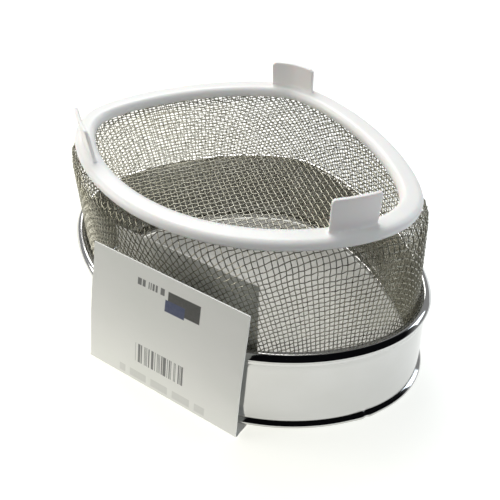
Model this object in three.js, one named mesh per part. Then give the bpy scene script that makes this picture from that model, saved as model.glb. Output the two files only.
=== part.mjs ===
// Triangular corner strainer, resting on its mouth with its feet up. Millimetres, +Z up, apex corner towards +Y.
import * as THREE from "three";

// ---- driving dimensions ----
// Every outline is a support function h(psi) = size + sum of c[k] * cos(k * psi), k = 2..6, psi from the apex.
const FOOT_OUTLINE = [-12.88, 2.96, 1.98, 0.78, 0.57];
const MOUTH_OUTLINE = [-14.16, 2.87, 2.01, 0.85, 0.49];
const STEPS = 96; // stations round every outline
const GAP = 0.3; // clearance between touching pieces

const BEAD_R = 2.8; // rolled edge of the collar
const BEAD_SIDES = 12;
const MOUTH_SIZE = 91.84; // bead centre line at the mouth
const MOUTH_Z = 1.9;
const NECK_SIZE = 86.6; // bead centre line where the basket enters the collar
const NECK_Z = 56.6;
const SHEET = 0.6; // collar sheet
const SHEET_IN = 0.3; // its inner face from the bead centre line
const LIP_H = 1.7; // turned lip under the neck bead
const LIP_T = 0.4;

const RING_SIZE = 69.3; // centre line of the plastic foot ring
const RING_Z = 115.54;
const RING_W = 10.06;
const RING_H = 6.14;
const RING_R = 3.03;

const FOOT_T = 1.7;
const FOOT_CORNER = 1.2;
// Angles of each plate's ends, its top, and its centre outwards of the ring's centre line.
const FOOT_SPANS = {
  foot_apex: { from: -17.3, to: 17.7, top: 131.2, offset: 0.7 },
  foot_left: { from: -149.4, to: -132.6, top: 135.2, offset: -0.5 },
  foot_right: { from: 131.4, to: 146.1, top: 135.2, offset: -0.5 },
};

const CLOTH = 0.9; // two crossing wires
const FLOOR_Z = RING_Z - RING_H / 2 - GAP; // outer face of the basket's flat floor
const WALL_TOP_SIZE = 78.15; // wall just under the floor's bend
const WALL_TOP_Z = RING_Z - 7.7;
const WALL_END_SIZE = 89.26; // wall just above the mouth bead
const WALL_END_Z = 5.1;
const BEND_R = 5.2;

const CARD_T = 0.5;
const CARD_YAW = 3.35; // degrees the card is turned about Z
const CARD_LEAN = 5; // degrees the panels lean, as the collar flares
const CARD_BEND = 3.4; // round the mouth bead
const CARD_LOW = -1.7; // underside of the strip below the bead
const CARD_FRONT_M = 79.75; // outer panel's inner face, along the card's normal
const CARD_BACK_M = 62.6; // inner panel's outer face
const CARD_OUTER = { low: [-60.6, 40.6], high: [-31.4, 48.3], top: 101.3 }; // left and right edge, low and high
const CARD_SLANT = 1.2; // the outer panel's top edge, up at the left and down at the right
const CARD_INNER = { low: [-40, 42.4], high: [-36, 41.9], top: 96 };

// ---- outlines ----
const rad = (d) => (d * Math.PI) / 180;
const mix = (a, b, t) => a + (b - a) * t;

function outlinePoint(size, coeffs, psi, scale = 1) {
  let h = size;
  let dh = 0;
  coeffs.forEach((c, i) => {
    h += c * Math.cos((i + 2) * psi);
    dh -= (i + 2) * c * Math.sin((i + 2) * psi);
  });
  const n = [Math.sin(psi), Math.cos(psi)];
  const t = [Math.cos(psi), -Math.sin(psi)];
  return [scale * (h * n[0] + dh * t[0]), scale * (h * n[1] + dh * t[1])];
}

// The outline turns from the foot ring's to the mouth's on the way down.
function coeffsAt(z) {
  const t = Math.min(1, Math.max(0, (RING_Z - z) / (RING_Z - MOUTH_Z)));
  return FOOT_OUTLINE.map((c, i) => mix(c, MOUTH_OUTLINE[i], t));
}

function meshFrom(name, points, tris, material) {
  const g = new THREE.BufferGeometry();
  g.setAttribute("position", new THREE.Float32BufferAttribute(points.flat(), 3));
  g.setIndex(tris.flat());
  g.computeVertexNormals();
  const m = new THREE.Mesh(g, material);
  m.name = name;
  return m;
}

// Closed section [size, z] swept once round the outline. Sections run so that faces point outwards.
function sweep(name, section, material) {
  const points = [];
  const tris = [];
  const m = section.length;
  for (let i = 0; i < STEPS; i++) {
    const psi = (2 * Math.PI * i) / STEPS;
    for (const [size, z] of section) {
      const [x, y] = outlinePoint(size, coeffsAt(z), psi);
      points.push([x, y, z]);
    }
  }
  for (let i = 0; i < STEPS; i++) {
    for (let j = 0; j < m; j++) {
      const a = i * m + j;
      const b = i * m + ((j + 1) % m);
      const c = ((i + 1) % STEPS) * m + j;
      const d = ((i + 1) % STEPS) * m + ((j + 1) % m);
      tris.push([a, b, d], [a, d, c]);
    }
  }
  return meshFrom(name, points, tris, material);
}

// Counter-clockwise in (size, z), so that the swept faces point outwards.
function circleSection(size, z, r, sides) {
  const out = [];
  for (let j = 0; j < sides; j++) {
    const a = (2 * Math.PI * (j + 0.5)) / sides;
    out.push([size + r * Math.cos(a), z + r * Math.sin(a)]);
  }
  return out;
}

function roundedSection(size, z, w, h, r, perCorner) {
  const out = [];
  for (let q = 0; q < 4; q++) {
    const cx = size + (q === 0 || q === 3 ? 1 : -1) * (w / 2 - r);
    const cz = z + (q < 2 ? 1 : -1) * (h / 2 - r);
    for (let s = 0; s <= perCorner; s++) {
      const a = (Math.PI / 2) * (q + s / perCorner);
      out.push([cx + r * Math.cos(a), cz + r * Math.sin(a)]);
    }
  }
  return out;
}

// ---- collar ----
const collarSizeAt = (z) => mix(MOUTH_SIZE, NECK_SIZE, (z - MOUTH_Z) / (NECK_Z - MOUTH_Z));
const SHEET_OUT = SHEET_IN + SHEET;
const SHEET_CLEAR = Math.sqrt(BEAD_R ** 2 - SHEET_IN ** 2) + GAP;

function stripSection(zLow, zHigh, from, to, pieces) {
  const outer = [];
  const inner = [];
  for (let s = 0; s <= pieces; s++) {
    const z = mix(zLow, zHigh, s / pieces);
    outer.push([collarSizeAt(z) + to, z]);
    inner.unshift([collarSizeAt(z) + from, z]);
  }
  return outer.concat(inner);
}

// ---- woven basket: flat floor, bend, flared wall, open at the mouth ----
function basket(name, material) {
  const lean = (WALL_END_SIZE - WALL_TOP_SIZE) / (WALL_TOP_Z - WALL_END_Z);
  const wallSize = (z) => WALL_TOP_SIZE + (WALL_TOP_Z - z) * lean;
  const turn = Math.atan(lean); // the wall's lean off the vertical
  const skin = (inset) => {
    // stations from the floor to the mouth at one depth inside the cloth
    const r = BEND_R - inset;
    const zc = FLOOR_Z - BEND_R;
    const corner = wallSize(zc) - BEND_R / Math.cos(turn);
    const list = [];
    for (let s = 0; s <= 5; s++) {
      const a = mix(Math.PI / 2, turn, s / 5);
      list.push([corner + r * Math.cos(a), zc + r * Math.sin(a)]);
    }
    for (let s = 1; s <= 5; s++) {
      const z = mix(zc, WALL_END_Z, s / 5);
      list.push([wallSize(z) - inset / Math.cos(turn), z]);
    }
    return list;
  };
  const outer = skin(0);
  const inner = skin(CLOTH);
  const rings = [...outer, ...inner.reverse()];
  const points = [[0, 0, FLOOR_Z], [0, 0, FLOOR_Z - CLOTH]];
  const tris = [];
  for (const [size, z] of rings) {
    for (let i = 0; i < STEPS; i++) {
      const [x, y] = outlinePoint(size, coeffsAt(z), (2 * Math.PI * i) / STEPS);
      points.push([x, y, z]);
    }
  }
  const at = (k, i) => 2 + k * STEPS + (i % STEPS);
  const last = rings.length - 1;
  for (let i = 0; i < STEPS; i++) {
    tris.push([0, at(0, i + 1), at(0, i)]);
    for (let k = 0; k < last; k++) {
      tris.push([at(k, i), at(k, i + 1), at(k + 1, i + 1)]);
      tris.push([at(k, i), at(k + 1, i + 1), at(k + 1, i)]);
    }
    tris.push([1, at(last, i), at(last, i + 1)]);
  }
  return meshFrom(name, points, tris, material);
}

// ---- feet: curved plates that stand on the ring ----
function foot(name, { from, to, top, offset }, material) {
  const base = RING_Z + RING_H / 2 + GAP;
  const spin = [];
  const ends = 4;
  const a0 = outlinePoint(RING_SIZE + offset, FOOT_OUTLINE, rad(from));
  const a1 = outlinePoint(RING_SIZE + offset, FOOT_OUTLINE, rad(to));
  const width = Math.hypot(a1[0] - a0[0], a1[1] - a0[1]);
  for (let s = 0; s <= ends; s++) {
    const q = (Math.PI / 2) * (s / ends);
    spin.push([(FOOT_CORNER * (1 - Math.cos(q))) / width, top - FOOT_CORNER * (1 - Math.sin(q))]);
  }
  const middle = [0.2, 0.35, 0.5, 0.65, 0.8].map((u) => [u, top]);
  const stations = [...spin, ...middle, ...spin.map(([u, z]) => [1 - u, z]).reverse()];
  const points = [];
  const tris = [];
  for (const [u, z] of stations) {
    const psi = rad(mix(from, to, u));
    const inn = outlinePoint(RING_SIZE + offset - FOOT_T / 2, FOOT_OUTLINE, psi);
    const out = outlinePoint(RING_SIZE + offset + FOOT_T / 2, FOOT_OUTLINE, psi);
    points.push([...inn, base], [...out, base], [...out, z], [...inn, z]);
  }
  const n = stations.length;
  for (let i = 0; i + 1 < n; i++) {
    for (let j = 0; j < 4; j++) {
      const a = i * 4 + j;
      const b = i * 4 + ((j + 1) % 4);
      tris.push([a, b, b + 4], [a, b + 4, a + 4]);
    }
  }
  const e = (n - 1) * 4;
  tris.push([0, 2, 1], [0, 3, 2], [e, e + 1, e + 2], [e, e + 2, e + 3]);
  return meshFrom(name, points, tris, material);
}

// ---- card: outer panel, strip under the mouth bead, inner panel ----
function card(name, material) {
  const yaw = rad(-CARD_YAW);
  const lean = rad(CARD_LEAN);
  const across = [Math.cos(yaw), Math.sin(yaw), 0];
  const out = [Math.sin(yaw), -Math.cos(yaw), 0]; // horizontal, away from the basket
  const place = (u, d, z) => [across[0] * u + out[0] * d, across[1] * u + out[1] * d, z];
  // centre line as [distance along out, z, face direction in that plane, left, right]
  const half = CARD_T / 2;
  const line = [];
  const dist = (m, z) => (m - Math.sin(lean) * z) / Math.cos(lean);
  const frontM = CARD_FRONT_M + half;
  const backM = CARD_BACK_M - half;
  const edge = (e, z) => {
    const t = z / e.top;
    return [mix(e.low[0], e.high[0], t), mix(e.low[1], e.high[1], t)];
  };
  const upOut = [Math.cos(lean), Math.sin(lean)];
  const zBend = CARD_LOW + CARD_BEND + half;
  for (const [z, slant] of [[CARD_OUTER.top, CARD_SLANT], [mix(CARD_OUTER.top, zBend, 0.5), 0]]) {
    line.push([dist(frontM, z), z, upOut, edge(CARD_OUTER, z), slant]);
  }
  // front bend
  const arc = (centre, z0, from, to, sides) => {
    for (let s = 0; s <= 4; s++) {
      const a = mix(from, to, s / 4);
      const dir = [Math.cos(a), Math.sin(a)];
      line.push([centre + CARD_BEND * dir[0], z0 + CARD_BEND * dir[1], dir, sides]);
    }
  };
  const f = dist(frontM, zBend) - CARD_BEND / Math.cos(lean);
  arc(f, zBend, lean, -Math.PI / 2, edge(CARD_OUTER, 0));
  const b = dist(backM, zBend) + CARD_BEND / Math.cos(lean);
  arc(b, zBend, -Math.PI / 2, -Math.PI + lean, edge(CARD_INNER, 0));
  for (const z of [mix(CARD_INNER.top, zBend, 0.5), CARD_INNER.top]) {
    line.push([dist(backM, z), z, [-upOut[0], -upOut[1]], edge(CARD_INNER, z)]);
  }
  const points = [];
  const tris = [];
  for (const [d, z, dir, [left, right], slant = 0] of line) {
    const at = (u, side, rise) => {
      const back = rise * Math.tan(lean);
      return place(u, d + side * dir[0] * half - back, z + side * dir[1] * half + rise);
    };
    points.push(at(left, 1, slant), at(right, 1, -slant), at(right, -1, -slant), at(left, -1, slant));
  }
  const n = line.length;
  for (let k = 0; k + 1 < n; k++) {
    for (let j = 0; j < 4; j++) {
      const a = k * 4 + j;
      const c = k * 4 + ((j + 1) % 4);
      tris.push([a, c + 4, c], [a, a + 4, c + 4]);
    }
  }
  const e = (n - 1) * 4;
  tris.push([0, 1, 2], [0, 2, 3], [e, e + 2, e + 1], [e, e + 3, e + 2]);
  return meshFrom(name, points, tris, material);
}

// ---- materials ----
const mat = (color, roughness, metalness) => new THREE.MeshStandardMaterial({ color, roughness, metalness });
const steel = mat(0xc9cbc8, 0.12, 1);
const wire = mat(0xa9a9a2, 0.35, 1);
const plastic = mat(0xe6e6e1, 0.4, 0);
const paper = mat(0xd6d7d1, 0.8, 0);

// ---- assembly ----
const group = new THREE.Group();
group.name = "corner_strainer";
const bandLow = MOUTH_Z + SHEET_CLEAR;
const bandHigh = NECK_Z - SHEET_CLEAR;
const lipHigh = NECK_Z - BEAD_R - 0.1;
const lipFrom = SHEET_OUT + GAP;
group.add(sweep("collar_band", stripSection(bandLow, bandHigh, SHEET_IN, SHEET_OUT, 1), steel));
group.add(sweep("collar_lip", stripSection(lipHigh - LIP_H, lipHigh, lipFrom, lipFrom + LIP_T, 1), steel));
group.add(sweep("neck_bead", circleSection(NECK_SIZE, NECK_Z, BEAD_R, BEAD_SIDES), steel));
group.add(sweep("mouth_bead", circleSection(MOUTH_SIZE, MOUTH_Z, BEAD_R, BEAD_SIDES), steel));
group.add(basket("mesh_basket", wire));
group.add(sweep("foot_ring", roundedSection(RING_SIZE, RING_Z, RING_W, RING_H, RING_R, 3), plastic));
for (const [name, span] of Object.entries(FOOT_SPANS)) {
  group.add(foot(name, span, plastic));
}
group.add(card("retail_card", paper));

// Centre the whole over the origin.
const box = new THREE.Box3().setFromObject(group);
const shift = [-(box.min.x + box.max.x) / 2, -(box.min.y + box.max.y) / 2, -box.min.z];
for (const child of group.children) {
  child.geometry.translate(...shift);
}

export default group;
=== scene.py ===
"""Corner strainer standing on its mouth: polished collar, wire basket, moulded foot ring, folded card."""
import math

import bpy
import numpy as np
from mathutils import Matrix, Vector


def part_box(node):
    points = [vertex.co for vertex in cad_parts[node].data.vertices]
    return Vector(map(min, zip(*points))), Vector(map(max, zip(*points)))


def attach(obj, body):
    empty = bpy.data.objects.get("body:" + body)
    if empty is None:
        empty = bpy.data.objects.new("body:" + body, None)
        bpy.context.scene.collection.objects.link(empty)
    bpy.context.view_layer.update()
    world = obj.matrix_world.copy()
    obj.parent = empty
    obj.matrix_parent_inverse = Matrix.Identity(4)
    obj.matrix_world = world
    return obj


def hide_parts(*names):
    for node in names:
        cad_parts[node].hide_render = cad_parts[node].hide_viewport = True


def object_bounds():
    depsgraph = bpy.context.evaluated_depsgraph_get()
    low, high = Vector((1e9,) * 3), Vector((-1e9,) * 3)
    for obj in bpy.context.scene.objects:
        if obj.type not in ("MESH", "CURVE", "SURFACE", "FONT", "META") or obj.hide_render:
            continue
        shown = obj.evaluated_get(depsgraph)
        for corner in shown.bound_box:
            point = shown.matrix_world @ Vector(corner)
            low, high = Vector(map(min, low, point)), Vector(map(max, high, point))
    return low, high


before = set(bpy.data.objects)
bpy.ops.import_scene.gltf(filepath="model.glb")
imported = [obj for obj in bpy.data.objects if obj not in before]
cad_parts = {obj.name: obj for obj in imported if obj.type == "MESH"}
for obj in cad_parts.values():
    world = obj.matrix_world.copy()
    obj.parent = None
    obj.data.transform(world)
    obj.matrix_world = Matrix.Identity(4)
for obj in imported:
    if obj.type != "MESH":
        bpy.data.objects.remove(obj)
cad_lo, cad_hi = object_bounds()
rng = np.random.default_rng(11)
MM = 0.001

# ---- outline: support function h(psi), psi from the apex (+Y) towards +X, in millimetres ----
FOOT_OUTLINE = np.array([-12.88, 2.96, 1.98, 0.78, 0.57])
MOUTH_OUTLINE = np.array([-14.16, 2.87, 2.01, 0.85, 0.49])
ORDER = np.arange(2, 7)
MOUTH_SIZE, MOUTH_Z = 91.84, 1.9
NECK_SIZE, NECK_Z = 86.6, 56.6
BEAD_R, BEAD_SIDES = 2.8, 64
MOUTH_SHOULDER, NECK_SHOULDER = 56.0, 43.0  # degrees above outwards that each bead's flatter side faces
SEAM_PSI, SEAM_DEPTH, SEAM_WIDTH = math.radians(134.0), 0.4, 5.9
SEAM_CURVE = 88.5  # the outline's radius of curvature at the seam
SHEET_IN, SHEET_OUT = 0.3, 0.9
LIP_H, LIP_OUT, LIP_FOLD = 1.7, 1.5, 0.35
RING_SIZE, RING_Z = 69.3, 115.54
RING_W, RING_H, RING_R = 10.06, 6.14, 3.03
FLOOR_Z = RING_Z - RING_H / 2 - 0.3  # top of the cloth floor, just under the ring
FEET = (  # start and end angle in degrees, top, and how far out of the ring's middle
    (-17.3, 17.7, 131.2, 0.7),
    (-149.4, -132.6, 135.2, -0.5),
    (131.4, 146.1, 135.2, -0.5),
)
CLOTH = 0.9  # thickness of the CAD skin, whose middle the wires follow
BEND_R = 5.2
WALL_TOP = (78.15, RING_Z - 7.7)  # (size, z) on the wall's outer face: near its top, and at the cut edge
WALL_END = (89.26, 5.1)
PITCH, WIRE_R = 2.5, 0.25


def coeffs_at(z):
    t = np.clip((RING_Z - np.asarray(z, float)) / (RING_Z - MOUTH_Z), 0, 1)
    return FOOT_OUTLINE + (MOUTH_OUTLINE - FOOT_OUTLINE) * t[..., None]


def support(size, coeffs, psi):
    """h, h' and the radius of curvature at psi."""
    k = ORDER
    c, s = np.cos(psi[..., None] * k), np.sin(psi[..., None] * k)
    h = size + (coeffs * c).sum(-1)
    dh = -(coeffs * k * s).sum(-1)
    rho = size + (coeffs * (1 - k * k) * c).sum(-1)
    return h, dh, rho


def outline(size, z, psi):
    h, dh, _ = support(size, coeffs_at(z), psi)
    n = np.stack([np.sin(psi), np.cos(psi)], -1)
    t = np.stack([np.cos(psi), -np.sin(psi)], -1)
    return h[..., None] * n + dh[..., None] * t


apex = outline(np.array(RING_SIZE + RING_W / 2), np.array(RING_Z), np.array(0.0))
ring_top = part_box("foot_ring")[1]
SHIFT_Y, SHIFT_Z = ring_top.y / MM - apex[1], ring_top.z / MM - RING_Z - RING_H / 2


# ---- mesh helpers ----
def add_mesh(name, verts, faces, material, body, nodes=()):
    me = bpy.data.meshes.new(name)
    verts = np.asarray(verts, float).copy()
    verts += (0.0, SHIFT_Y, SHIFT_Z)
    flat = np.concatenate([np.asarray(f, np.int32).ravel() for f in faces])
    counts = np.concatenate([np.full(len(f), np.shape(f)[1], np.int32) for f in faces])
    starts = np.concatenate([[0], np.cumsum(counts)[:-1]]).astype(np.int32)
    me.vertices.add(len(verts))
    me.vertices.foreach_set("co", (verts * MM).astype(np.float32).ravel())
    me.loops.add(len(flat))
    me.loops.foreach_set("vertex_index", flat)
    me.polygons.add(len(counts))
    me.polygons.foreach_set("loop_start", starts)
    me.update(calc_edges=True)
    me.validate()
    me.polygons.foreach_set("use_smooth", np.full(len(me.polygons), True))
    ob = bpy.data.objects.new(name, me)
    bpy.context.scene.collection.objects.link(ob)
    ob.data.materials.append(material)
    if body:
        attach(ob, body)
    if nodes:
        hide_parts(*nodes)
    return ob


def grid_faces(rows, cols, wrap_rows=False, wrap_cols=False):
    i = np.arange(rows if wrap_rows else rows - 1)
    j = np.arange(cols if wrap_cols else cols - 1)
    i, j = [a.ravel() for a in np.meshgrid(i, j, indexing="ij")]
    i2, j2 = (i + 1) % rows, (j + 1) % cols
    return np.stack([i * cols + j, i * cols + j2, i2 * cols + j2, i2 * cols + j], -1)


def sweep_points(section, stations):
    """A closed (size, z) section, counter-clockwise, carried round the outline."""
    psi = np.linspace(0, 2 * math.pi, stations, endpoint=False)
    s = np.asarray(section, float)
    P, S = np.meshgrid(psi, s[:, 0], indexing="ij")
    Z = np.broadcast_to(s[:, 1], P.shape)
    xy = outline(S, Z, P)
    return np.dstack([xy, Z])


def sweep(name, section, material, body, nodes, stations=480, bump=None):
    pts = sweep_points(section, stations)
    if bump is not None:
        pts = bump(pts)
    rows, cols = pts.shape[:2]
    faces = grid_faces(rows, cols, True, True)
    return add_mesh(name, pts.reshape(-1, 3), [faces], material, body, nodes)


# ---- materials ----
class Shader:
    """A small builder for a Principled material in object coordinates."""

    def __init__(self, name):
        self.mat = bpy.data.materials.new(name)
        self.mat.use_nodes = True
        self.t = self.mat.node_tree
        self.bsdf = self.t.nodes["Principled BSDF"]
        self.coord = self.t.nodes.new("ShaderNodeTexCoord").outputs["Object"]

    def set(self, **values):
        for key, v in values.items():
            socket = self.bsdf.inputs[key.replace("_", " ")]
            if hasattr(v, "links"):
                self.t.links.new(v, socket)
            else:
                socket.default_value = v
        return self

    def node(self, kind, inputs=(), **props):
        n = self.t.nodes.new(kind)
        for k, v in props.items():
            setattr(n, k, v)
        for key, v in dict(inputs).items():
            if hasattr(v, "links"):
                self.t.links.new(v, n.inputs[key])
            else:
                n.inputs[key].default_value = v
        return n

    def noise(self, scale, detail=3.0, vector=None):
        inputs = {"Vector": vector or self.coord, "Scale": scale, "Detail": detail}
        return self.node("ShaderNodeTexNoise", inputs).outputs["Fac"]

    def math(self, op, a, b=0.0, c=0.0):
        n = self.node("ShaderNodeMath", operation=op)
        for i, v in enumerate((a, b, c)):
            if hasattr(v, "links"):
                self.t.links.new(v, n.inputs[i])
            else:
                n.inputs[i].default_value = v
        return n.outputs[0]

    def ramp(self, value, lo, hi, out_lo, out_hi):
        inputs = {"Value": value, "From Min": lo, "From Max": hi, "To Min": out_lo, "To Max": out_hi}
        return self.node("ShaderNodeMapRange", inputs).outputs["Result"]

    def mix(self, fac, a, b):
        n = self.node("ShaderNodeMix", data_type="RGBA")
        for i, v in ((0, fac), (6, a), (7, b)):
            if hasattr(v, "links"):
                self.t.links.new(v, n.inputs[i])
            else:
                n.inputs[i].default_value = (*v, 1.0) if i else v
        return n.outputs[2]

    def dot(self, vec, direction):
        n = self.node("ShaderNodeVectorMath", {0: vec, 1: direction}, operation="DOT_PRODUCT")
        return n.outputs["Value"]

    def bump(self, height, strength, distance):
        n = self.node("ShaderNodeBump", {"Height": height, "Strength": strength, "Distance": distance})
        self.t.links.new(n.outputs["Normal"], self.bsdf.inputs["Normal"])
        return self


def steel_material():
    s = Shader("polished_steel")
    streak = s.node("ShaderNodeMapping", {"Vector": s.coord, "Scale": (0.25, 0.25, 5.0)}).outputs[0]
    cloud = s.noise(22.0, 3.0)
    lines = s.noise(260.0, 4.0, vector=streak)
    rough = s.math("ADD", s.ramp(cloud, 0.3, 0.7, 0.05, 0.1), s.math("MULTIPLY", lines, 0.035))
    tint = s.mix(s.ramp(cloud, 0.35, 0.65, 0.0, 1.0), (0.57, 0.57, 0.555), (0.61, 0.61, 0.605))
    s.set(Base_Color=tint, Metallic=1.0, Roughness=rough)
    return s.bump(s.math("ADD", s.noise(40.0, 2.0), s.math("MULTIPLY", lines, 0.05)), 0.12, 0.0006).mat


def wire_material():
    s = Shader("woven_wire")
    fleck = s.noise(420.0, 2.0)
    # Painted shade and reflection: the wire's steel gets a darker, more olive base colour than the collar's
    # polished steel, standing in for the dark reflections in the weave.
    tint = s.mix(s.ramp(s.noise(28.0, 3.0), 0.35, 0.65, 0.0, 1.0), (0.35, 0.335, 0.26), (0.43, 0.42, 0.36))
    s.set(Base_Color=tint, Metallic=1.0, Roughness=s.ramp(fleck, 0.3, 0.7, 0.22, 0.4))
    return s.bump(s.noise(2600.0, 2.0), 0.15, 0.0001).mat


def plastic_material():
    s = Shader("white_plastic")
    cloud = s.noise(16.0, 3.0)
    tint = s.mix(s.ramp(cloud, 0.35, 0.65, 0.0, 1.0), (0.85, 0.85, 0.83), (0.89, 0.89, 0.88))
    s.set(Base_Color=tint, Roughness=s.ramp(s.noise(90.0, 4.0), 0.3, 0.7, 0.3, 0.42), IOR=1.5)
    s.set(Subsurface_Weight=0.15, Subsurface_Scale=0.002)
    grain = s.math("ADD", s.noise(60.0, 2.0), s.math("MULTIPLY", s.noise(1500.0, 2.0), 0.15))
    return s.bump(grain, 0.1, 0.0004).mat


steel = steel_material()
wire = wire_material()
plastic = plastic_material()


# ---- collar: mouth bead, sheet with its turned lip, neck bead ----
def arc(cx, cz, r, a0, a1, count):
    a = np.radians(np.linspace(a0, a1, count))
    return np.stack([cx + r * np.cos(a), cz + r * np.sin(a)], -1)


def collar_size(z):
    return MOUTH_SIZE + (NECK_SIZE - MOUTH_SIZE) * (z - MOUTH_Z) / (NECK_Z - MOUTH_Z)


def bead_bump(at_psi, depth, width):
    """A butt joint: a slight swelling of the bead with a narrow notch in its middle."""
    notch = 0.22 * width

    def apply(pts):
        rows = len(pts)
        psi = np.linspace(0, 2 * math.pi, rows, endpoint=False)
        gap = (psi - at_psi + math.pi) % (2 * math.pi) - math.pi
        centre = pts.mean(axis=1, keepdims=True)
        arc_len = gap * SEAM_CURVE
        swell = depth * (np.exp(-((arc_len / width) ** 2)) - 1.4 * np.exp(-((arc_len / notch) ** 2)))
        return centre + (pts - centre) * (1 + swell / BEAD_R)[:, None, None]

    return apply


def bead_section(size, z, shoulder):
    """A round bead with a flatter shoulder, facing the given angle above outwards, where it was rolled."""
    a = np.linspace(0, 2 * math.pi, BEAD_SIDES, endpoint=False)
    b = (a - math.radians(shoulder) + math.pi) % (2 * math.pi) - math.pi
    flat = (np.abs(np.cos(b)) ** 3 + np.abs(np.sin(b)) ** 3) ** (-1 / 3) / 2 ** (1 / 6)
    r = BEAD_R * np.where(np.abs(b) < math.pi / 4, flat, 1.0)
    return np.stack([size + r * np.cos(a), z + r * np.sin(a)], -1)


def collar_sheet():
    """The sheet's section: up its outer face, round the turned lip, over the top and down its inner face."""
    lip_low = NECK_Z - BEAD_R - 0.1 - LIP_H
    section = [(collar_size(z) + SHEET_OUT, z) for z in np.linspace(MOUTH_Z, lip_low - 0.5, 14)]
    for t in np.radians(np.linspace(-80, 0, 6)):
        size = collar_size(lip_low) + LIP_OUT - LIP_FOLD + LIP_FOLD * math.cos(t)
        section.append((size, lip_low + LIP_FOLD + LIP_FOLD * math.sin(t)))
    for z in np.linspace(lip_low + 1.0, NECK_Z - 1.6, 4):
        section.append((collar_size(z) + LIP_OUT - 0.25 * (z - lip_low - 1.0) / LIP_H, z))
    section.append((collar_size(NECK_Z) + SHEET_OUT, NECK_Z))
    section += [(collar_size(z) + SHEET_IN, z) for z in np.linspace(NECK_Z, MOUTH_Z, 16)]
    return section


def collar(material):
    mouth = bead_section(MOUTH_SIZE, MOUTH_Z, MOUTH_SHOULDER)
    neck = bead_section(NECK_SIZE, NECK_Z, NECK_SHOULDER)
    seam = bead_bump(SEAM_PSI, SEAM_DEPTH, SEAM_WIDTH)
    body, slot = "strainer", "polished_steel"
    sweep("mouth_roll", mouth, material, body, ["mouth_bead"], 960, seam)
    sweep("neck_roll", neck, material, body, ["neck_bead"])
    sweep("collar_sheet", collar_sheet(), material, body, ["collar_band", "collar_lip"])


collar(steel)


# ---- foot ring with its three feet, one moulding ----
def rounded_section(size, z, w, h, r, per):
    """A w by h rectangle in (size, z) with corners of radius r, each of `per` steps."""
    out = []
    for q, (sx, sz) in enumerate(((1, 1), (-1, 1), (-1, -1), (1, -1))):
        out.append(arc(size + sx * (w / 2 - r), z + sz * (h / 2 - r), r, 90 * q, 90 * q + 90, per + 1))
    return np.concatenate(out)


def foot_points(start, end, top, out, sink=2.2, thick=1.7, corner=1.3):
    """A curved plate: rings of four points round its thickness and height, carried along the outline."""
    steps = 29
    psi = np.radians(np.linspace(start, end, steps))
    mid = outline(np.full(steps, RING_SIZE + out), np.full(steps, RING_Z), psi)
    run = np.concatenate([[0], np.cumsum(np.hypot(*np.diff(mid, axis=0).T))])
    edge = np.minimum(run, run[-1] - run)
    cut = corner - np.sqrt(np.maximum(corner**2 - (corner - np.minimum(edge, corner)) ** 2, 0))
    base = RING_Z + RING_H / 2 - sink
    rings = []
    for k in range(steps):
        a = psi[k : k + 1]
        ring = []
        for o, z in ((-0.5, base), (0.5, base), (0.5, top - cut[k]), (-0.5, top - cut[k])):
            xy = outline(np.array([RING_SIZE + out + o * thick]), np.array([RING_Z]), a)[0]
            ring.append((*xy, z))
        rings.append(ring)
    return np.array(rings)


def moulding(material):
    """Ring and feet as one solid: joined and rounded by a voxel remesh, then smoothed."""
    pts = sweep_points(rounded_section(RING_SIZE, RING_Z, RING_W, RING_H, RING_R, 6), 288)
    verts, faces = [pts.reshape(-1, 3)], [grid_faces(*pts.shape[:2], True, True)]
    base = len(verts[0])
    for foot in FEET:
        rings = foot_points(*foot)
        verts.append(rings.reshape(-1, 3))
        faces.append(grid_faces(len(rings), 4, False, True) + base)
        last = base + 4 * (len(rings) - 1)
        faces.append(np.array([[base, base + 3, base + 2, base + 1], [last, last + 1, last + 2, last + 3]]))
        base += rings.shape[0] * 4
    ob = add_mesh("foot_moulding_raw", np.concatenate(verts), faces, material, None)
    mod = ob.modifiers.new("union", "REMESH")
    mod.mode, mod.voxel_size, mod.adaptivity = "VOXEL", 0.45 * MM, 0.0
    mod.use_smooth_shade = True
    smooth = ob.modifiers.new("soften", "SMOOTH")
    smooth.factor, smooth.iterations = 0.5, 5
    dg = bpy.context.evaluated_depsgraph_get()
    me = bpy.data.meshes.new_from_object(ob.evaluated_get(dg), depsgraph=dg)
    me.name = "foot_moulding"
    bpy.data.objects.remove(ob)
    piece = bpy.data.objects.new("foot_moulding", me)
    bpy.context.scene.collection.objects.link(piece)
    me.materials.clear()
    me.materials.append(material)
    me.polygons.foreach_set("use_smooth", np.full(len(me.polygons), True))
    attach(piece, "strainer")
    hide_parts("foot_ring", "foot_apex", "foot_left", "foot_right")
    return piece


moulding(plastic)


# ---- woven basket: a flat square weave drawn over the floor's edge and down the wall ----
LEAN = (WALL_END[0] - WALL_TOP[0]) / (WALL_TOP[1] - WALL_END[1])
TURN = math.atan(LEAN)
BEND_Z = FLOOR_Z - BEND_R
MID_R = BEND_R - CLOTH / 2
CORNER = WALL_TOP[0] + (WALL_TOP[1] - BEND_Z) * LEAN - BEND_R / math.cos(TURN)
ARC_LEN = MID_R * (math.pi / 2 - TURN)
WALL_LEN = (BEND_Z + MID_R * math.sin(TURN) - WALL_END[1]) / math.cos(TURN)
END_LEN = ARC_LEN + WALL_LEN


def meridian(s):
    """(size, z, normal's angle) at distance s past the floor's edge, along the wall."""
    a = np.pi / 2 - np.clip(s, 0, ARC_LEN) / MID_R
    down = np.maximum(s - ARC_LEN, 0)
    size = CORNER + MID_R * np.cos(a) + down * math.sin(TURN)
    return size, BEND_Z + MID_R * np.sin(a) - down * math.cos(TURN), a


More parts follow.
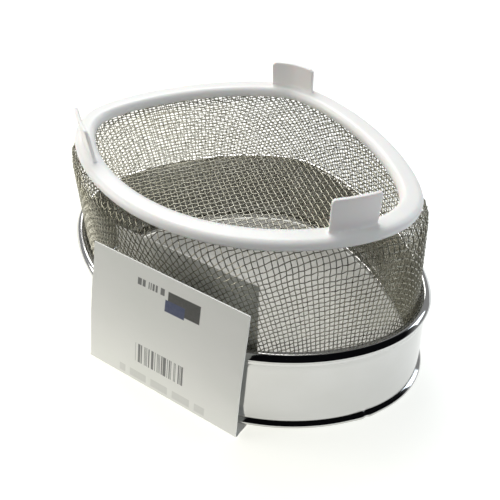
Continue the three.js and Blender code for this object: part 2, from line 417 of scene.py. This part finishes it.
def on_wall(psi, s):
    """Points and outward normals at angle psi, s down the wall from the floor's edge."""
    size, z, a = meridian(np.maximum(s, 0))
    p = np.column_stack([outline(size, z, psi), z])
    return p, np.stack([np.cos(a) * np.sin(psi), np.cos(a) * np.cos(psi), np.sin(a)], -1)


def fold_down(q):
    """Blank points (n, 2) folded straight down: angle, distance past the floor's edge, and if inside it."""
    floor = coeffs_at(np.array(FLOOR_Z))
    grid = np.linspace(-np.pi, np.pi, 721)[:-1]
    psi, best = np.zeros(len(q)), np.full(len(q), -1e9)
    for g, hg in zip(grid, support(CORNER, floor, grid)[0]):
        d = q[:, 0] * math.sin(g) + q[:, 1] * math.cos(g) - hg
        psi = np.where(d > best, g, psi)
        best = np.maximum(best, d)
    for _ in range(3):
        h, dh, rho = support(CORNER, floor, psi)
        along = q[:, 0] * np.cos(psi) - q[:, 1] * np.sin(psi) - dh
        out = q[:, 0] * np.sin(psi) + q[:, 1] * np.cos(psi) - h
        psi = psi + np.where(best > 0, along / np.maximum(rho + out, 1), 0)
    h = support(CORNER, floor, psi)[0]
    return psi, q[:, 0] * np.sin(psi) + q[:, 1] * np.cos(psi) - h, best <= 0


def nearest(x, psi):
    """Angle and distance down the wall of the basket's point nearest to each x."""
    c = coeffs_at(np.clip(x[:, 2], -80, FLOOR_Z - CLOTH / 2))
    for _ in range(2):
        h, dh, rho = support(0.0, c, psi)
        along = x[:, 0] * np.cos(psi) - x[:, 1] * np.sin(psi) - dh
        out = x[:, 0] * np.sin(psi) + x[:, 1] * np.cos(psi) - h
        psi = psi + along / np.maximum(rho + out, 1)
    size = x[:, 0] * np.sin(psi) + x[:, 1] * np.cos(psi) - support(0.0, c, psi)[0]
    a = np.arctan2(x[:, 2] - BEND_Z, size - CORNER)
    end = (CORNER + MID_R * math.cos(TURN), BEND_Z + MID_R * math.sin(TURN))
    down = (size - end[0]) * math.sin(TURN) - (x[:, 2] - end[1]) * math.cos(TURN)
    on_bend = np.clip((np.pi / 2 - a) * MID_R, 0, ARC_LEN)
    return psi, np.where((a > TURN) & (down < 0), on_bend, ARC_LEN + np.maximum(down, 0))


STEP, HALF = 4 * PITCH, 22  # coarse lattice's spacing, and its nodes each side of the middle


def relaxed():
    """How far each node of a coarse lattice slides round and down from fold_down when the cloth settles.

    Wires resist stretching, diagonals resist closing past the weave's lock, and each wire is kept fair.
    """
    idx = np.arange(-HALF, HALF + 1)
    I, J = np.meshgrid(idx, idx, indexing="ij")
    shape = I.shape
    q = np.stack([(I - J), (I + J)], -1).reshape(-1, 2) * STEP / math.sqrt(2)
    psi0, d0, inside = fold_down(q)
    act = ~inside & (d0 < 150)
    psi, s = psi0.copy(), d0.copy()
    flat = np.column_stack([q, np.full(len(q), FLOOR_Z - CLOTH / 2)])
    x = np.where(inside[:, None], flat, on_wall(psi0, d0)[0]).reshape(*shape, 3)
    free, used = act.reshape(shape).astype(float), (act | inside).reshape(shape)
    low, high, mid = slice(None, -1), slice(1, None), slice(1, -1)
    every = slice(None)
    wires = [((low, every), (high, every), 0.85, 1.0), ((every, low), (every, high), 0.85, 1.0)]
    across = [((low, low), (high, high), 0.45, 9.0), ((high, low), (low, high), 0.45, 9.0)]
    bends = [((slice(None, -2), every), (mid, every), (slice(2, None), every)),
             ((every, slice(None, -2)), (every, mid), (every, slice(2, None)))]
    for _ in range(400):
        move = np.zeros_like(x)
        for a, b, least, most in wires + across:
            d = x[b] - x[a]
            run = np.linalg.norm(d, axis=-1)
            off = run - np.clip(run, least * STEP, most * STEP) + (0.05 * (run - STEP) if most == 1 else 0)
            pull = off * (used[a] & used[b]) / np.maximum(run, 1e-6) / np.maximum(free[a] + free[b], 1)
            move[a] += (pull * free[a])[..., None] * d
            move[b] -= (pull * free[b])[..., None] * d
        for a, m, b in bends:
            held = used[a] & used[m] & used[b]
            move[m] += 0.3 * ((x[a] + x[b]) / 2 - x[m]) * (held * free[m])[..., None]
        x = (x + 0.45 * move * free[..., None]).reshape(-1, 3)
        psi[act], s[act] = nearest(x[act], psi[act])
        x[act] = on_wall(psi[act], s[act])[0]
        x = x.reshape(*shape, 3)
    slide = (psi - psi0 + np.pi) % (2 * np.pi) - np.pi
    return np.stack([slide * act, (s - d0) * act], -1).reshape(*shape, 2)


def drape(i, j, q):
    """Points on the basket, their normals, and whether they lie above the cut edge."""
    psi, d, inside = fold_down(q)
    f = relaxed()
    x, y = i / 4 + HALF, j / 4 + HALF
    x0, y0 = np.clip(x.astype(int), 0, 2 * HALF - 1), np.clip(y.astype(int), 0, 2 * HALF - 1)
    u, v = (x - x0)[:, None], (y - y0)[:, None]
    slide = (f[x0, y0] * (1 - u) * (1 - v) + f[x0 + 1, y0] * u * (1 - v)
             + f[x0, y0 + 1] * (1 - u) * v + f[x0 + 1, y0 + 1] * u * v)
    slide = slide * np.clip(d / STEP, 0, 1)[:, None]
    s = np.maximum(d + slide[:, 1], 0)
    p, n = on_wall(psi + slide[:, 0], s)
    p = np.where(inside[:, None], np.column_stack([q, np.full(len(q), FLOOR_Z - CLOTH / 2)]), p)
    return p, np.where(inside[:, None], (0.0, 0.0, 1.0), n), s < END_LEN


def woven_basket(material, sides=5):
    """Every wire of the plain weave, passing over and under its neighbours, with its ends capped."""
    half = 82
    idx = np.arange(-half, half + 1)
    I, J = np.meshgrid(idx, idx, indexing="ij")
    wave = 0.35
    a, b = rng.uniform(0, 6.28, 4), rng.uniform(0.02, 0.05, 4)
    U = I * PITCH + rng.normal(0, 0.05, I.shape) + rng.normal(0, 0.1, len(idx))[:, None]
    V = J * PITCH + rng.normal(0, 0.05, I.shape) + rng.normal(0, 0.1, len(idx))[None, :]
    U = U + wave * np.sin(V * b[0] + a[0]) + wave * np.sin(U * b[1] + a[1])
    V = V + wave * np.sin(U * b[2] + a[2]) + wave * np.sin(V * b[3] + a[3])
    q = np.stack([(U - V) / math.sqrt(2), (U + V) / math.sqrt(2)], -1).reshape(-1, 2)
    p, n, ok = drape(I.ravel(), J.ravel(), q)
    shape = I.shape
    p, n, ok = p.reshape(*shape, 3), n.reshape(*shape, 3), ok.reshape(shape)
    over = np.where((I + J) % 2 == 0, 1.0, -1.0)[..., None] * (WIRE_R + 0.01)
    verts, faces, caps, base = [], [], [], 0
    angle = np.linspace(0, 2 * np.pi, sides, endpoint=False) + math.pi / 2
    for axis, lift in ((0, over), (1, -over)):
        c = p + n * lift
        t = np.zeros_like(c)
        if axis == 0:
            t[1:-1] = c[2:] - c[:-2]
        else:
            t[:, 1:-1] = c[:, 2:] - c[:, :-2]
        t /= np.maximum(np.linalg.norm(t, axis=-1, keepdims=True), 1e-9)
        side = np.cross(t, n)
        side /= np.maximum(np.linalg.norm(side, axis=-1, keepdims=True), 1e-9)
        up = np.cross(side, t)
        cos, sin = np.cos(angle)[:, None], np.sin(angle)[:, None]
        ring = c[:, :, None] + WIRE_R * (cos * side[:, :, None] + sin * up[:, :, None])
        nxt = np.zeros(shape, bool)
        if axis == 0:
            nxt[:-1] = ok[:-1] & ok[1:]
            prv = np.zeros(shape, bool)
            prv[1:] = nxt[:-1]
        else:
            nxt[:, :-1] = ok[:, :-1] & ok[:, 1:]
            prv = np.zeros(shape, bool)
            prv[:, 1:] = nxt[:, :-1]
        used = nxt | prv
        number = np.full(shape, -1)
        number[used] = np.arange(used.sum()) + base // sides
        step = (1, 0) if axis == 0 else (0, 1)
        i, j = np.nonzero(nxt)
        k0, k1 = number[i, j] * sides, number[i + step[0], j + step[1]] * sides
        for m in range(sides):
            m2 = (m + 1) % sides
            faces.append(np.stack([k0 + m, k0 + m2, k1 + m2, k1 + m], -1))
        first = number[nxt & ~prv] * sides
        last = number[prv & ~nxt] * sides
        caps.append(np.stack([first + m for m in range(sides)][::-1], -1))
        caps.append(np.stack([last + m for m in range(sides)], -1))
        verts.append(ring[used].reshape(-1, 3))
        base += used.sum() * sides
    verts = np.concatenate(verts)
    add_mesh("wire_basket", verts, faces + caps, material, "strainer", ["mesh_basket"])


woven_basket(wire)

# ---- retail card; a panel is its left and right at z 0, its left and right at its top, and its top's z ----
CARD_T, CARD_LEAN, CARD_YAW, CARD_BEND, CARD_LOW = 0.5, 5.0, 3.35, 3.4, -1.7
CARD_FRONT_M, CARD_BACK_M = 79.75, 62.6
OUTER = ((-60.6, 40.6), (-31.4, 48.3), 101.3)
SLANT = 1.2
INNER = ((-40.0, 42.4), (-36.0, 41.9), 96.0)
yaw, lean = math.radians(-CARD_YAW), math.radians(CARD_LEAN)
ACROSS = np.array([math.cos(yaw), math.sin(yaw), 0.0])
OUT = np.array([math.sin(yaw), -math.cos(yaw), 0.0])
UP = np.array([0, 0, 1.0]) * math.cos(lean) - OUT * math.sin(lean)


def card_piece(material):
    """The folded board, carried down the outer panel, round both bends and up the inner panel."""
    half = CARD_T / 2
    z0 = CARD_LOW + CARD_BEND + half
    front_m, back_m = CARD_FRONT_M + half, CARD_BACK_M - half

    def dist(m, z):
        return (m - math.sin(lean) * z) / math.cos(lean)

    line = []
    up_out = (math.cos(lean), math.sin(lean))
    for z in np.linspace(OUTER[2], z0, 40):
        t = z / OUTER[2]
        bow = 0.9 * math.sin(math.pi * min(1, t)) ** 2
        edge = [OUTER[0][k] + (OUTER[1][k] - OUTER[0][k]) * t for k in (0, 1)]
        line.append((dist(front_m + bow, z), z, up_out, edge, SLANT * t))
    f = dist(front_m, z0) - CARD_BEND / math.cos(lean)
    b = dist(back_m, z0) + CARD_BEND / math.cos(lean)
    down = -math.pi / 2
    for centre, a0, a1, sides in ((f, lean, down, OUTER[0]), (b, down, -math.pi + lean, INNER[0])):
        for a in np.linspace(a0, a1, 12):
            d = (math.cos(a), math.sin(a))
            line.append((centre + CARD_BEND * d[0], z0 + CARD_BEND * d[1], d, sides, 0.0))
    for z in np.linspace(z0, INNER[2], 30)[1:]:
        t = z / INNER[2]
        edge = [INNER[0][k] + (INNER[1][k] - INNER[0][k]) * t for k in (0, 1)]
        line.append((dist(back_m, z), z, (-up_out[0], -up_out[1]), edge, 0.0))
    cols = 24
    across = np.linspace(0, 1, cols)
    outer_pts, inner_pts = [], []
    for d, z, n, (left, right), slant in line:
        u = left + (right - left) * across
        rise = slant * (1 - 2 * across)
        for sign, store in ((1, outer_pts), (-1, inner_pts)):
            dd, zz = d + sign * n[0] * half, z + sign * n[1] * half
            dd = dd - rise * math.tan(lean)
            store.append(ACROSS * u[:, None] + OUT * dd[:, None] + np.outer(zz + rise, (0, 0, 1.0)))
    outer_pts, inner_pts = np.array(outer_pts), np.array(inner_pts)
    rows = len(line)
    verts = np.concatenate([outer_pts.reshape(-1, 3), inner_pts.reshape(-1, 3)])
    g = grid_faces(rows, cols)
    off = rows * cols
    faces = [g[:, ::-1], g + off]
    r = np.arange(rows - 1) * cols
    faces.append(np.stack([r, r + cols, r + cols + off, r + off], -1))
    r = r + cols - 1
    faces.append(np.stack([r + cols, r, r + off, r + cols + off], -1))
    c = np.arange(cols - 1)
    faces.append(np.stack([c + 1, c, c + off, c + 1 + off], -1))
    c = c + (rows - 1) * cols
    faces.append(np.stack([c, c + 1, c + 1 + off, c + off], -1))
    ob = add_mesh("folded_card", verts, faces, material, "card", ["retail_card"])
    ob.data.set_sharp_from_angle(angle=math.radians(40))
    return ob


def card_material():
    """Coated board with plain generic print: bars without digits, blocks and a broken pale band."""
    s = Shader("printed_board")
    z = s.math("MULTIPLY_ADD", s.dot(s.coord, (0.0, 0.0, 1.0)), 1000.0, -SHIFT_Z)
    u = s.math("MULTIPLY_ADD", s.dot(s.coord, tuple(ACROSS)), 1000.0, -SHIFT_Y * ACROSS[1])
    out = s.math("MULTIPLY_ADD", s.dot(s.coord, tuple(np.cross(ACROSS, UP))), 1000.0, 0.0)
    left = s.ramp(z, 0.0, OUTER[2], OUTER[0][0], OUTER[1][0])
    right = s.ramp(z, 0.0, OUTER[2], OUTER[0][1], OUTER[1][1])
    share = s.math("DIVIDE", s.math("SUBTRACT", u, left), s.math("SUBTRACT", right, left))

    def inside(x, lo, hi, soft):
        a = s.ramp(x, lo - soft, lo + soft, 0.0, 1.0)
        b = s.ramp(x, hi - soft, hi + soft, 1.0, 0.0)
        return s.math("MULTIPLY", a, b)

    def box(u0, u1, z0, z1):
        return s.math("MULTIPLY", inside(share, u0, u1, 0.002), inside(z, z0, z1, 0.2))

    def bands(value, per, seed, limit):
        w = s.math("ADD", s.math("FLOOR", s.math("MULTIPLY", value, per)), seed)
        n = s.node("ShaderNodeTexNoise", {"W": w, "Scale": 3.7, "Detail": 0.0}, noise_dimensions="1D")
        return s.math("GREATER_THAN", n.outputs["Fac"], limit)

    code = s.math("MULTIPLY", bands(share, 250.0, 0.0, 0.49), box(0.33, 0.656, 23.3, 41.8))
    dark = box(0.517, 0.722, 80.0, 92.3)
    strip = s.math("MULTIPLY", bands(share, 150.0, 40.0, 0.46), box(0.30, 0.505, 88.0, 92.6))
    blue = box(0.502, 0.628, 78.2, 86.2)
    gaps = s.math("LESS_THAN", s.math("FRACT", s.math("MULTIPLY", share, 6.8)), 0.78)
    pale = s.math("MULTIPLY", gaps, box(0.22, 0.80, 4.6, 12.6))
    fibre = s.noise(900.0, 4.0)
    base = s.mix(s.ramp(s.noise(30.0, 3.0), 0.3, 0.7, 0.0, 1.0), (0.79, 0.80, 0.76), (0.82, 0.82, 0.79))
    face = s.mix(s.math("MULTIPLY", pale, 0.28), base, (0.30, 0.30, 0.29))
    face = s.mix(s.math("MULTIPLY", s.math("MAXIMUM", code, strip), 0.85), face, (0.05, 0.05, 0.052))
    face = s.mix(dark, face, (0.045, 0.045, 0.042))
    face = s.mix(blue, face, (0.035, 0.05, 0.13))
    front = s.math("GREATER_THAN", out, CARD_FRONT_M - 2.0)
    s.set(Base_Color=s.mix(front, (0.85, 0.84, 0.80), face), Roughness=s.ramp(fibre, 0.3, 0.7, 0.45, 0.62))
    return s.bump(s.math("ADD", fibre, s.noise(120.0, 2.0)), 0.12, 0.0003).mat


card_piece(card_material())

# ---- stage: floor, painted-shade ground inside the mouth, world, lights, camera ----
FLOOR_R, FLOOR_EDGE, FLOOR_AZ = 0.8, 0.182, math.radians(-30)  # metres; the beads mirror the near edge
GROUND_POINTS = 96


def lit_floor():
    """A pale disc that gives off light, a little warmer on one side, with its near edge by the object."""
    s = Shader("floor")
    s.set(Roughness=0.9, Emission_Strength=0.78, Base_Color=(0.45, 0.45, 0.45, 1))
    across = s.ramp(s.dot(s.coord, (0.8, 0.6, 0.0)), -0.15, 0.15, 0.0, 1.0)
    s.set(Emission_Color=s.mix(across, (1.0, 0.985, 0.88), (0.93, 0.975, 1.0)))
    away = FLOOR_R - FLOOR_EDGE
    place = (away * math.sin(FLOOR_AZ), away * math.cos(FLOOR_AZ), cad_lo.z - 0.0003)
    bpy.ops.mesh.primitive_circle_add(vertices=96, radius=FLOOR_R, fill_type="NGON", location=place)
    floor = bpy.context.object
    floor.name = "floor"
    floor.data.materials.append(s.mat)


def painted_shade_ground():
    """Painted shade: ground inside the mouth with far less glow than the floor round it, standing in for the
    shade the collar and the basket cast.
    """
    s = Shader("painted_shade_ground")
    s.set(Base_Color=(0.8, 0.79, 0.74, 1), Roughness=0.9)
    # painted shade: a weak glow here, where the floor outside the mouth glows at 0.78
    s.set(Emission_Color=(1, 0.99, 0.95, 1), Emission_Strength=0.18)
    psi = np.linspace(0, 2 * math.pi, GROUND_POINTS, endpoint=False)
    rim = outline(np.full(GROUND_POINTS, MOUTH_SIZE - 1.0), np.full(GROUND_POINTS, MOUTH_Z), psi)
    rim = np.column_stack([rim, np.full(GROUND_POINTS, cad_lo.z / MM - SHIFT_Z - 0.15)])[::-1]
    add_mesh("painted_shade_ground", rim, [np.arange(GROUND_POINTS)[None, :]], s.mat, None)


def studio_world(dark_az=30, dark_el=25, strength=0.4):
    """Pale surroundings, dark round one direction: degrees from -Y towards +X, and up."""
    world = bpy.data.worlds.new("studio")
    bpy.context.scene.world = world
    world.use_nodes = True
    tree = world.node_tree
    back = tree.nodes["Background"]
    coord = tree.nodes.new("ShaderNodeTexCoord")
    toward = tree.nodes.new("ShaderNodeVectorMath")
    toward.operation = "DOT_PRODUCT"
    tree.links.new(coord.outputs["Generated"], toward.inputs[0])
    az, el = math.radians(dark_az), math.radians(dark_el)
    level = math.cos(el)
    toward.inputs[1].default_value = (math.sin(az) * level, -math.cos(az) * level, math.sin(el))
    fade = tree.nodes.new("ShaderNodeMapRange")
    fade.interpolation_type = "SMOOTHSTEP"
    for key, value in (("From Min", 0.15), ("From Max", 0.5), ("To Min", 0.0), ("To Max", 1.0)):
        fade.inputs[key].default_value = value
    tree.links.new(toward.outputs["Value"], fade.inputs["Value"])
    mix = tree.nodes.new("ShaderNodeMix")
    mix.data_type = "RGBA"
    mix.inputs[6].default_value = (0.85, 0.86, 0.88, 1)
    mix.inputs[7].default_value = (0.01, 0.01, 0.012, 1)
    tree.links.new(fade.outputs["Result"], mix.inputs[0])
    tree.links.new(mix.outputs[2], back.inputs["Color"])
    back.inputs["Strength"].default_value = strength


def area(name, position, size, power, color, size_y=None, mirrored=True):
    """A soft box aimed at the middle of the basket; one that isn't mirrored shows in no reflection."""
    light = bpy.data.lights.new(name, "AREA")
    light.size, light.energy, light.color = size, power, color
    if size_y:
        light.shape, light.size_y = "RECTANGLE", size_y
    ob = bpy.data.objects.new(name, light)
    bpy.context.scene.collection.objects.link(ob)
    ob.location = position
    aim = Vector((0, 0, 0.06)) - Vector(position)
    ob.rotation_euler = aim.to_track_quat("-Z", "Y").to_euler()
    ob.visible_glossy = mirrored


def camera(azimuth, elevation, roll, place, lens):
    """Azimuth in degrees from +Y towards +X, elevation up, roll anticlockwise; place before the shift."""
    data = bpy.data.cameras.new("camera")
    cam = bpy.data.objects.new("camera", data)
    bpy.context.scene.collection.objects.link(cam)
    bpy.context.scene.camera = cam
    az, el, tilt = math.radians(azimuth), math.radians(elevation), math.radians(roll)
    ahead = Vector((math.sin(az) * math.cos(el), math.cos(az) * math.cos(el), math.sin(el)))
    level = Vector((math.cos(az), -math.sin(az), 0.0))
    above = level.cross(ahead)
    right = level * math.cos(tilt) + above * math.sin(tilt)
    turn = Matrix((right, right.cross(ahead), -ahead)).transposed()
    shifted = Vector(place) + Vector((0.0, SHIFT_Y, SHIFT_Z))
    cam.matrix_world = Matrix.Translation(shifted * MM) @ turn.to_4x4()
    data.sensor_width, data.lens = 36.0, lens
    data.clip_start, data.clip_end = 0.01, 50.0
    data.dof.use_dof = False


lit_floor()
painted_shade_ground()
studio_world()
area("top_box", (-0.45, 0.35, 1.0), 0.7, 9.0, (1.0, 0.995, 0.98))
area("side_box", (1.0, 0.45, 0.5), 0.35, 2.5, (0.8, 0.89, 1.0), size_y=0.6)
area("fill_right", (0.85, -0.4, 0.45), 0.6, 3.2, (0.95, 0.98, 1.0), mirrored=False)
area("fill_left", (-0.95, -0.55, 0.45), 0.6, 6.5, (1.0, 0.98, 0.93))
camera(-29.412, -45.942, -2.721, place=(102.97, -176.80, 259.07), lens=36.85)
bpy.context.scene.view_settings.view_transform = "Standard"
